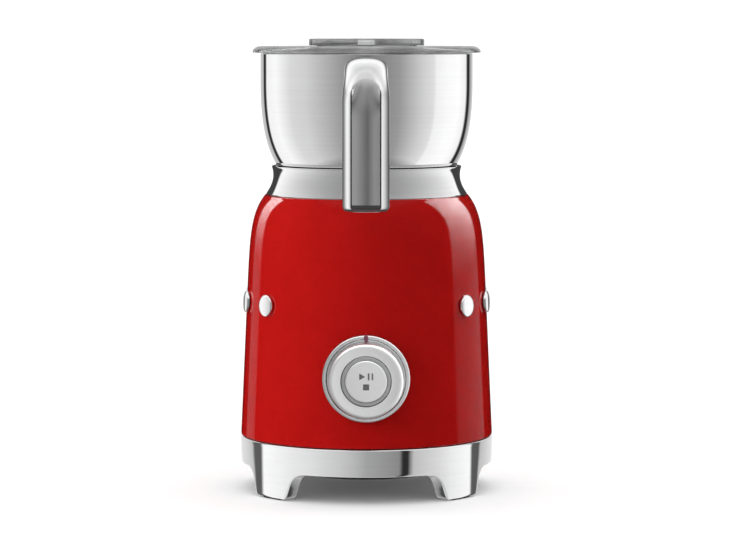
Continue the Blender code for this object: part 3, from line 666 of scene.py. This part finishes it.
def make_jug():
    rim = arc((JUG_R - JUG_WALL / 2, JUG_RIM - 0.6), JUG_WALL / 2, 180, 0, 6)
    inner = jug_line(JUG_WALL, 24)[::-1]
    outline = [(0, JUG_BOTTOM + JUG_WALL)] + inner + rim + jug_line(0, 30) + [(0, JUG_BOTTOM)]
    pot = turned(outline, 256)
    for vert in pot.verts:
        x, y, z = vert.co
        reach = math.hypot(x, y)
        if reach > 0:
            drawn = 1 + pour_lip(x, y, z) / reach
            vert.co = (x * drawn, y * drawn, z)
    piece("jug_body", pot, FINISH["polished_steel"], "jug", ["jug_pot"])
    disc = [(0, 167.6), (41, 167.6, 0.8), (41, 170, 0.4), (0, 170)]
    piece("heating_plate", turned(rounded(disc), MEDIUM), FINISH["steel"], "jug", ["heating_disc"])
    pin = [(0, 171.8), (4.5, 171.8), (4.5, 172.6, 0.4), (2, 173.2, 0.4), (2, 184.8, 0.9), (0, 184.8)]
    piece("centre_pin", turned(rounded(pin), SMALL), FINISH["steel"], "jug", ["whisk_pin"])


ARM_LENGTH = 25.0
ARM_TILT = math.radians(7)  # the arm drops towards the jug
BEND_LENGTH = HANDLE_BEND * (math.pi / 2 + ARM_TILT)
GRIP_DROP = 0.4  # how far the grip ends below the CAD's
GRIP_END = ARM_LENGTH + BEND_LENGTH + HANDLE_TOP - HANDLE_BEND - HANDLE_BOTTOM + GRIP_DROP
BEND_Y, BEND_Z = HANDLE_BEND - HANDLE_REACH, HANDLE_TOP - HANDLE_BEND


def handle_path(s):
    """The handle's outer face at a length along it: y, z, outward y, outward z, and how far it has bent."""
    if s < ARM_LENGTH + BEND_LENGTH:
        turn = max(0.0, s - ARM_LENGTH) / HANDLE_BEND - ARM_TILT
        y, z = -math.sin(turn), math.cos(turn)
        back = max(0.0, ARM_LENGTH - s)
        place = (BEND_Y + HANDLE_BEND * y + back * z, BEND_Z + HANDLE_BEND * z - back * y)
        return *place, y, z, max(0.0, turn / (math.pi / 2))
    return -HANDLE_REACH, BEND_Z - (s - ARM_LENGTH - BEND_LENGTH), -1.0, 0.0, 1.0


def handle_point(s, x, depth):
    """A point beside the handle's outer face: x across it, depth outwards from it."""
    y, z, out_y, out_z, _ = handle_path(s)
    return (x, y + depth * out_y, z + depth * out_z)


ARM_HALF, GRIP_HALF = 11.5, 12.4
ARM_CROWN, GRIP_CROWN = 6.8, 5.2  # how far the front bulges over the sides
WIDENS_FROM, WIDENS_OVER = HANDLE_TOP - 6, 16  # where the arm starts to widen into the grip, and its height
BACK_DEPTH, BACK_ROUND = 10.6, 2.4
END_ROUND = 3.2  # length of the grip's rounded end


def handle_front(s):
    """The size of the handle's front at a length along it: half width, crown, and power of its curve."""
    _, z, _, _, bend = handle_path(s)
    wide = min(1.0, max(0.0, (WIDENS_FROM - z) / WIDENS_OVER))
    half = ARM_HALF + (GRIP_HALF - ARM_HALF) * wide * wide * (3 - 2 * wide)
    return half, ARM_CROWN + (GRIP_CROWN - ARM_CROWN) * bend, 0.8 - 0.12 * bend


def front_depth(s, x):
    """How deep the handle's front lies at x, under its middle."""
    half, crown, power = handle_front(s)
    share = min(1.0, abs(x) / half) ** (2 / power)
    return crown * (1 - (1 - share) ** (power / 2))


def handle_section(s):
    """The handle's closed section at a length along it, as (x, depth), with a rounded front."""
    half, crown, power = handle_front(s)
    front = [math.radians(90 * (i / 16) ** 1.3) for i in range(17)]
    right = [(half * math.sin(a) ** power, crown * (math.cos(a) ** power - 1)) for a in front[:-1]]
    right += [(half, -crown)]
    right += arc((half - BACK_ROUND, -BACK_DEPTH), BACK_ROUND, 0, -90, 5)
    left = [(-x, depth) for x, depth in reversed(right[1:])]
    return right + left


PANEL_TOP_TURN = 33.0  # degrees above the bend's front where the inlay starts
PANEL_TOP = ARM_LENGTH + BEND_LENGTH - math.radians(PANEL_TOP_TURN) * HANDLE_BEND
PANEL_BOTTOM = GRIP_END - 1.3
PANEL_SLOPE, PANEL_FALL = 2.6, 0.38  # height and steepness of the sloped face that ends the inlay
PANEL_HALF, PANEL_ROUND = 7.3, 6.0
PANEL_CORNER = 1.5  # radius of its two lower corners
PANEL_TIP = 0.03  # share of its width that it keeps at its very top
PANEL_SAG = 0.62  # how much deeper its edges lie than its middle
PANEL_BLEND = 6.0  # length over which its curve changes from the frame's to its own
ABOVE = 3.0  # a height clear of the handle's front
FLAT_FROM = 202.0  # height where the inlay starts to lean back from the grip's face


def lean_back(s, x):
    """How deep the inlay lies under the bend's face: it runs straighter from FLAT_FROM to its arched end.

    The arched end lies further down the handle towards the inlay's sides.
    """
    share = min(1.0, abs(x) / PANEL_HALF)
    top_y, top_z = handle_path(PANEL_TOP + PANEL_ROUND * share**3)[:2]
    y, z, out_y, _, _ = handle_path(s)
    if not FLAT_FROM < z < top_z:
        return 0.0
    back = (top_y + HANDLE_REACH) * ((z - FLAT_FROM) / (top_z - FLAT_FROM)) ** 2
    return max(0.0, back - (y + HANDLE_REACH)) * -out_y


def panel_depth(s, x):
    """How deep the inlay's face lies: the frame's own curve at its arched end, an even one below."""
    share = min(1.0, abs(x) / PANEL_HALF)
    along = min(1.0, max(0.0, (s - PANEL_TOP - PANEL_ROUND * share**3) / PANEL_BLEND))
    even = PANEL_SAG * (x / PANEL_HALF) ** 2
    near = front_depth(s, x)
    return near + (even - near) * along * along * (3 - 2 * along) + lean_back(s, x)


def inlay(half, round_end, top_s, bottom_s, surface_depth, floor_depth):
    """A bmesh plate along the handle with an arched upper end; depths are functions of (s, x)."""
    stations = [top_s + round_end * (1 - math.cos(math.pi / 2 * i / 12)) for i in range(13)]
    slope_start = bottom_s - PANEL_SLOPE
    stations += [stations[-1] + (slope_start - stations[-1]) * i / 36 for i in range(1, 37)]
    stations += [slope_start + PANEL_SLOPE * i / 8 for i in range(1, 9)]
    rings = []
    for s in stations:
        left = max(0.0, 1 - (s - top_s) / round_end)
        corner = max(0.0, 1 - (bottom_s - s) / PANEL_CORNER)
        width = half * max(PANEL_TIP, math.sqrt(max(0.0, 1 - left * left)))
        width -= PANEL_CORNER * (1 - math.sqrt(max(0.0, 1 - corner * corner)))
        places = [width * (i / 10 - 1) for i in range(21)]
        upper = [handle_point(s, x, surface_depth(s, x)) for x in places]
        lower = [handle_point(s, x, floor_depth(s, x)) for x in reversed(places)]
        rings.append(upper + lower)
    return loft(rings)


def make_handle():
    """The handle's frame, with a recess in its front, and the inlay that lies in it, ringed by a black strip
    that paints the shadow in the gap.
    """
    rings = []
    bend_end = ARM_LENGTH + BEND_LENGTH
    stations = line((0,), (ARM_LENGTH,), 8)[:-1] + line((ARM_LENGTH,), (bend_end,), 28)
    stations += line((bend_end,), (GRIP_END - END_ROUND,), 16)[1:]
    for (s,) in stations:
        last = handle_section(s)
        rings.append([handle_point(s, x, depth) for x, depth in last])
    core = 7  # depth that the rounded end shrinks towards
    for left, shrink in ((2.2, 0.99), (1.5, 0.97), (0.9, 0.94), (0.45, 0.9), (0.15, 0.86), (0, 0.82)):
        ring = [(x * shrink, (depth + core) * shrink - core) for x, depth in last]
        rings.append([handle_point(GRIP_END - left, x, depth) for x, depth in ring])
    frame_piece = mesh_object("handle_frame", loft(rings), ON_AXIS)
    flat = inlay(
        PANEL_HALF, PANEL_ROUND, PANEL_TOP, PANEL_BOTTOM,
        lambda s, x: ABOVE, lambda s, x: -0.12 - panel_depth(s, x),
    )
    carve(frame_piece, flat, ON_AXIS)
    recess = inlay(
        PANEL_HALF + 0.75, PANEL_ROUND + 1.0, PANEL_TOP + 1.5, PANEL_BOTTOM + 0.1,
        lambda s, x: ABOVE, lambda s, x: -2.5 - lean_back(s, x),
    )
    carve(frame_piece, recess, ON_AXIS)
    carve(frame_piece, cylinder(JUG_R - 0.6, 200, 260, FINE), ON_AXIS)
    piece("handle_frame", frame_piece, FINISH["handle_steel"], "jug", ["handle"], sharp=28)

    def panel_face(s, x):
        slope = PANEL_FALL * max(0.0, s - PANEL_BOTTOM + PANEL_SLOPE)
        return -0.01 - panel_depth(s, x) - slope

    plate = inlay(
        PANEL_HALF, PANEL_ROUND, PANEL_TOP, PANEL_BOTTOM, panel_face, lambda s, x: -2.45 - lean_back(s, x)
    )
    steel = FINISH["handle_steel"]
    plate = piece("handle_inlay", plate, steel, "jug", ["handle"], sharp=24)
    # A black strip under the gap round the inlay: painted shadow of the gap.
    gap_shade = inlay(
        PANEL_HALF + 0.7, PANEL_ROUND + 0.9, PANEL_TOP + 1.6, PANEL_BOTTOM,
        lambda s, x: -0.7 - panel_depth(s, x), lambda s, x: -2.4 - lean_back(s, x),
    )
    gap_shade = piece("handle_gap_shade", gap_shade, FINISH["black_plastic"], "jug", ["handle"])
    for part in (frame_piece, plate, gap_shade):
        part.visible_glossy = False


def make_whisk():
    hub = [(2.4, 173.4), (20.4, 173.4, 0.3), (20.4, 174.2, 0.3), (16, 174.8, 0.5), (16, 178.6, 0.8)]
    hub += [(7, 180, 2), (5.4, 182, 1), (5.4, 190, 0.8), (4.4, 191, 0.8), (0, 191)]
    hub += [(0, 185.4), (2.4, 185.4)]
    body = mesh_object("whisk_disc", turned(rounded(hub), MEDIUM), ON_AXIS)
    groove = [(7, 170), (13.6, 170), (13.6, 177), (7, 177)]
    carve(body, turned(groove, MEDIUM), ON_AXIS)
    piece("whisk_disc", body, FINISH["black_plastic"], "whisk", ["whisk_hub"])
    coils, per_coil = 44, 12
    coil_r, ring_r, ring_height = 2.15, 19.2, 177.2
    curve = bpy.data.curves.new("whisk_coil", "CURVE")
    curve.dimensions = "3D"
    curve.bevel_depth = 0.45 * MM
    curve.bevel_resolution = 2
    spline = curve.splines.new("POLY")
    spline.points.add(coils * per_coil - 1)
    for i, point in enumerate(spline.points):
        around = 2 * math.pi * i / (coils * per_coil)
        wind = 2 * math.pi * i / per_coil
        reach = ring_r + coil_r * math.cos(wind)
        height = ring_height + coil_r * math.sin(wind)
        place = (reach * math.cos(around), reach * math.sin(around), height)
        point.co = (*(ON_AXIS @ (Vector(place) * MM)), 1)
    spline.use_cyclic_u = True
    coil = bpy.data.objects.new("whisk_coil", curve)
    bpy.context.scene.collection.objects.link(coil)
    curve.materials.append(FINISH["steel"])
    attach(coil, "whisk")
    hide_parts("whisk_ring")


def make_lid():
    brim = bezier((57.6, LID_TOP), (60.6, LID_TOP), (62.5, 242.6), (LID_R, 240.9), 16)
    edge = bezier((LID_R, 240.8), (LID_R, 240.4), (62.5, 240.3), (62.2, 240.3), 4)
    under = [(55.3, 240.3, 0.3), (55.3, 237.2, 0.3), (54.3, 236.6, 0.2), (54.3, 231.8, 0.2)]
    under += [(55.3, 231.2, 0.2), (55.3, 229.8, 0.3), (53.6, 229.8, 0.3), (53.6, 241.6, 1.2)]
    under += [(29.8, 241.6, 0.6), (29.8, 236.5, 0.3), (28, 236.5, 0.3), (28, LID_TOP, 0.5)]
    outline = rounded(brim + edge + under)
    piece("jug_lid", turned(outline, FINE), FINISH["clear_plastic"], "lid", ["lid"])
    seal = [(54.6, 232), (55.6, 232.2), (56.7, 232.8, 0.6), (56.7, 235.4, 0.6), (55.6, 236.2), (54.6, 236.4)]
    piece("lid_gasket", turned(rounded(seal), FINE), FINISH["silicone"], "lid", ["lid_seal"])


CAP_BAR_HALF = 4.4  # half the width of the bar that fingers hold


def make_cap():
    outline = [(0, 234), (25.6, 234, 1.0), (25.6, 245.5, 0.6), (29.9, 245.5, 0.3), (29.9, CAP_TOP, 0.35)]
    outline += [(CAP_R, CAP_TOP, 0.7), (CAP_R, 244.3, 0.4), (27.4, 244.3, 0.3), (27.4, 222, 0.6)]
    outline += [(25.6, 222, 0.6), (25.6, 232.5, 1.0), (0, 232.5)]
    cap = mesh_object("dosing_cap", turned(rounded(outline), FINE), ON_AXIS)
    top = CAP_TOP - 0.1
    right = [(26.5, 233.4), (26.5, 244.9), (30.2, 244.9), (30.2, top, 0.5)]
    left = [(-c[0], *c[1:]) for c in reversed(right)]
    bar = prism(rounded(right + left), -CAP_BAR_HALF, CAP_BAR_HALF)
    facing = ON_AXIS @ Matrix.Rotation(math.pi / 2, 4, "Z") @ Matrix.Rotation(math.pi / 2, 4, "X")
    carve(cap, bar, facing, "UNION")
    piece("dosing_cap", cap, FINISH["clear_plastic"], "cap", ["measuring_cap"])


def finish_cad_nodes():
    """The nodes that stay as they are take the finish of their material slot."""
    slots = {part["node"]: part["material_slot"] for part in frame["record"]["subparts"]}
    for name, obj in frame["nodes"].items():
        obj.data.materials.clear()
        obj.data.materials.append(FINISH[slots[name]])


make_base()
make_seat()
make_studs()
make_dial()
make_jug()
make_handle()
make_whisk()
make_lid()
make_cap()
finish_cad_nodes()


# --- studio ---------------------------------------------------------------------------------------

AMBIENT = 1.16
DOME_R = 5.0  # metres
FLOOR_R = 4.6  # metres
KEY_TURN = math.radians(-68)
CAMERA_LENS, CAMERA_SHIFT = 147.386, 0.0012245
CAMERA_AWAY, CAMERA_HEIGHT = 1.6564, 0.25166  # metres
CAMERA_DOWN, CAMERA_TURN = math.radians(4.544), math.radians(0.2)


def receivers(name, names):
    """A collection of the pieces that one light shines on."""
    group = bpy.data.collections.new(name)
    for obj in bpy.context.scene.objects:
        if obj.type in ("MESH", "CURVE") and obj.name in names:
            group.objects.link(obj)
    return group


def reflection_dome(
    name, radius, stops, names, top, bottom, up=(28, 50), down=(-42, -58), level_gain=1.0, skew=0.0
):
    """A light all round the object that only the named pieces see.

    stops are (degrees from -Y towards +X, brightness). Between the elevations of up and of down it
    fades to top and bottom. level_gain dims what comes from the horizon, up to 30 degrees above it.
    skew moves the bands away from the front as they rise.
    """
    bm = bmesh.new()
    bmesh.ops.create_uvsphere(bm, u_segments=96, v_segments=48, radius=radius / MM)
    dome = mesh_object(name, bm, Matrix.Identity(4))
    dome.data.shade_smooth()
    material = bpy.data.materials.new(name)
    material.use_nodes = True
    tree = material.node_tree
    tree.nodes.clear()
    spot = node(tree, "ShaderNodeTexCoord").outputs["Object"]
    direction = node(tree, "ShaderNodeVectorMath", {0: spot}, operation="NORMALIZE").outputs[0]
    parts = node(tree, "ShaderNodeSeparateXYZ", {0: direction})
    forward = node(tree, "ShaderNodeMath", {0: parts.outputs["Y"], 1: -1.0}, operation="MULTIPLY").outputs[0]
    turn = node(tree, "ShaderNodeMath", {0: parts.outputs["X"], 1: forward}, operation="ARCTAN2").outputs[0]
    height = node(tree, "ShaderNodeMath", {0: parts.outputs["Z"]}, operation="ARCSINE").outputs[0]
    if skew:
        lean = {0: height, 1: -skew, 2: 1.0}
        lean = node(tree, "ShaderNodeMath", lean, operation="MULTIPLY_ADD").outputs[0]
        turn = node(tree, "ShaderNodeMath", {0: turn, 1: lean}, operation="MULTIPLY").outputs[0]
    share = ranged(tree, turn, 0.0, 1.0, -math.pi, math.pi)
    ramp = node(tree, "ShaderNodeValToRGB", {"Fac": share})
    bands = ramp.color_ramp.elements
    for k, (degrees, value) in enumerate(stops):
        band = bands[k] if k < 2 else bands.new(1.0)
        band.position = (degrees + 180) / 360
        band.color = (value, value, value, 1)
    gain = ranged(tree, height, level_gain, 1.0, 0.0, math.radians(30))
    bright = {0: ramp.outputs["Color"], "Scale": gain}
    banded = node(tree, "ShaderNodeVectorMath", bright, operation="SCALE").outputs[0]
    up = ranged(tree, height, 0.0, 1.0, math.radians(up[0]), math.radians(up[1]))
    down = ranged(tree, height, 0.0, 1.0, math.radians(down[0]), math.radians(down[1]))
    colour = mixed(tree, up, banded, (top, top, top, 1))
    colour = mixed(tree, down, colour, (bottom, bottom, bottom, 1))
    glow = node(tree, "ShaderNodeEmission", {"Color": colour, "Strength": 1.0}).outputs[0]
    clear = node(tree, "ShaderNodeBsdfTransparent").outputs[0]
    both = node(tree, "ShaderNodeAddShader", {0: glow, 1: clear}).outputs[0]
    node(tree, "ShaderNodeOutputMaterial", {"Surface": both})
    material.cycles.emission_sampling = "NONE"
    dome.data.materials.append(material)
    dome.visible_camera = False
    dome.visible_transmission = False
    dome.light_linking.receiver_collection = receivers(f"seen_by_{name}", names)
    dome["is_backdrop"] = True


def linear(level):
    """A display level from 0 to 255 as linear light."""
    share = level / 255
    return share / 12.92 if share <= 0.04045 else ((share + 0.055) / 1.055) ** 2.4


def lit(stops, reflectance):
    """Stops of display levels as the light that a piece of this reflectance needs to show them."""
    return [(degrees, linear(level) / reflectance) for degrees, level in stops]


BRIGHTEST = 250


def swell(middle, edge, power, first, last, steps=10):
    """Stops that brighten from the middle of a round piece, at 0 degrees, to its edges, at 180."""
    stops = []
    for degrees, _ in line((first, 0), (last, 0), steps):
        share = abs(math.sin(math.radians(degrees) / 2)) ** power
        stops.append((degrees, min(BRIGHTEST, middle + (edge - middle) * share)))
    return stops


METAL_STOPS = [
    (-180, 200), (-151, 185), (-148, 42), (-141, 42), (-138, 240), (-115, 248), (-90, 215), (-70, 207),
    (-52, 187), (-25, 150), (-10, 128), (0, 108), (10, 128), (36, 152), (65, 207), (78, 222), (81, 240),
    (100, 250), (118, 254), (136, 240), (140.5, 42), (148, 42), (151.5, 155), (165, 200), (180, 200),
]

COLLAR_STOPS = [(-180, 110), (-170, 65), (-137, 60)]
COLLAR_STOPS += swell(140, 275, 1.9, -132.5, 0) + swell(140, 275, 1.9, 0, 132)[1:]
COLLAR_STOPS += [(136.5, 62), (150, 62), (168, 68), (180, 110)]

RING_STOPS = [(-180, 230), (-142, 210), (-129, 194), (-124, 90), (-112, 90)]
RING_STOPS += swell(160, 264, 0.67, -108, 0, 9) + [(30, 136), (33, 42), (38, 46)]
RING_STOPS += swell(138, 278, 1.0, 43.5, 109, 5)
RING_STOPS += [(112, 90), (124, 85), (128, 190), (145, 210), (180, 230)]

HANDLE_STOPS = [
    (-180, 55), (-140, 60), (-95, 125), (-73, 165), (-50, 240), (-38, 245), (-22, 150), (-14, 145),
    (2, 98), (12, 140), (20, 128), (26, 238), (45, 205), (60, 165), (90, 105), (130, 80), (180, 55),
]
HANDLE_SKY_STOPS = [(-180, 205), (-100, 205), (-60, 120), (60, 120), (100, 205), (180, 205)]
DIAL_STOPS = [
    (-180, 190), (-110, 150), (-75, 175), (-14, 175), (-3, 200), (8, 212), (35, 205), (70, 270), (110, 280),
    (130, 200), (180, 190),
]
PAINT_STOPS = [
    (-180, 0.02), (-144.5, 0.02), (-142.5, 4.8), (-125.5, 6.0), (-123.5, 0.03), (90, 0.03), (93, 5.0),
    (110, 6.2), (135, 7.0), (138, 0.02), (180, 0.02),
]


def make_lights():
    shown = {obj.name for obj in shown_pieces()}
    paint, ring, collar = {"housing_shell"}, {"leg_ring", "leg_lining"}, {"jug_collar"}
    handle = {"handle_frame", "handle_inlay"}
    dial = {"dial_bezel", "dial_knob", "push_button", "button_sleeve", "lamp_lens"}
    rest = shown - paint - ring - collar - handle - dial
    metal, legs, waist = lit(METAL_STOPS, 0.86), lit(RING_STOPS, 0.87), lit(COLLAR_STOPS, 0.87)
    reflection_dome("dome_metal", DOME_R, metal, rest, 1.05, 0.16)
    reflection_dome("dome_ring", DOME_R + 0.1, legs, ring, 1.0, 0.4)
    reflection_dome("dome_collar", DOME_R + 0.2, waist, collar, 0.8, 0.5, (60, 90), skew=0.25)
    grip, sky, face = lit(HANDLE_STOPS, 0.86), lit(HANDLE_SKY_STOPS, 0.86), lit(DIAL_STOPS, 0.78)
    reflection_dome("dome_handle", DOME_R + 0.3, grip, handle, 0.85, 0.055, (12, 90), (-22, -42))
    reflection_dome("dome_handle_sky", DOME_R + 0.6, sky, handle, 0.0, 0.0, (50, 80), (38, 25))
    reflection_dome("dome_dial", DOME_R + 0.4, face, dial, 2.2, 0.35, (20, 60), (-20, -60))
    reflection_dome("dome_paint", DOME_R + 0.5, PAINT_STOPS, paint, 0.3, 0.05, (50, 70), level_gain=0.05)

    key = bpy.data.objects.new("key", bpy.data.lights.new("key", "SUN"))
    key.data.energy = 4.8
    key.data.angle = math.radians(50)
    direction = Vector((math.sin(KEY_TURN), -math.cos(KEY_TURN), 0.25))
    key.rotation_mode = "QUATERNION"
    key.rotation_quaternion = direction.to_track_quat("Z", "Y")
    key.visible_glossy = False
    key.light_linking.receiver_collection = receivers("seen_by_key", paint)
    bpy.context.scene.collection.objects.link(key)

    fill = bpy.data.objects.new("floor_fill", bpy.data.lights.new("floor_fill", "SUN"))
    fill.data.energy = 0.17
    fill.data.angle = math.radians(90)
    fill.data.use_shadow = False
    fill.visible_glossy = False
    fill.light_linking.receiver_collection = receivers("seen_by_floor_fill", {"floor"})
    bpy.context.scene.collection.objects.link(fill)


def make_world():
    """Even white light for matt and clear surfaces, white behind the object, and none in reflections."""
    world = bpy.data.worlds.new("studio")
    bpy.context.scene.world = world
    world.use_nodes = True
    tree = world.node_tree
    background = tree.nodes["Background"]
    rays = node(tree, "ShaderNodeLightPath").outputs
    both = {0: rays["Is Glossy Ray"], 1: rays["Is Reflection Ray"]}
    mirrored = node(tree, "ShaderNodeMath", both, operation="MULTIPLY").outputs[0]
    tree.links.new(ranged(tree, mirrored, AMBIENT, 0.0, 0.0, 1.0), background.inputs["Strength"])
    background.inputs["Color"].default_value = (1, 1, 1, 1)


def make_floor():
    """Pale floor, hidden from reflections so that the domes alone shape them."""
    bm = bmesh.new()
    bmesh.ops.create_circle(bm, cap_ends=True, segments=96, radius=FLOOR_R / MM)
    floor = mesh_object("floor", bm, Matrix.Identity(4))
    floor.data.materials.append(
        surface("floor", grey(0.97), grey(0.99), (0.8, 0.9), (300, 300, 300), 0.0, Specular_IOR_Level=0.0)
    )
    floor.visible_glossy = False
    floor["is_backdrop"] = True


def make_camera():
    """At the height and angle of a product shot, far off with a long lens."""
    camera = bpy.data.objects.new("camera", bpy.data.cameras.new("camera"))
    camera.data.lens = CAMERA_LENS
    camera.data.sensor_width = 36.0
    camera.data.shift_x = CAMERA_SHIFT
    camera.data.clip_end = 40
    side, back = CAMERA_AWAY * math.sin(CAMERA_TURN), CAMERA_AWAY * math.cos(CAMERA_TURN)
    camera.location = (side, AXIS_Y - back, CAMERA_HEIGHT)
    camera.rotation_euler = (math.pi / 2 - CAMERA_DOWN, 0, CAMERA_TURN)
    bpy.context.scene.collection.objects.link(camera)
    bpy.context.scene.camera = camera


make_floor()
make_lights()
make_world()
make_camera()
bpy.context.scene.view_settings.view_transform = "Standard"
bpy.context.scene.view_settings.look = "None"
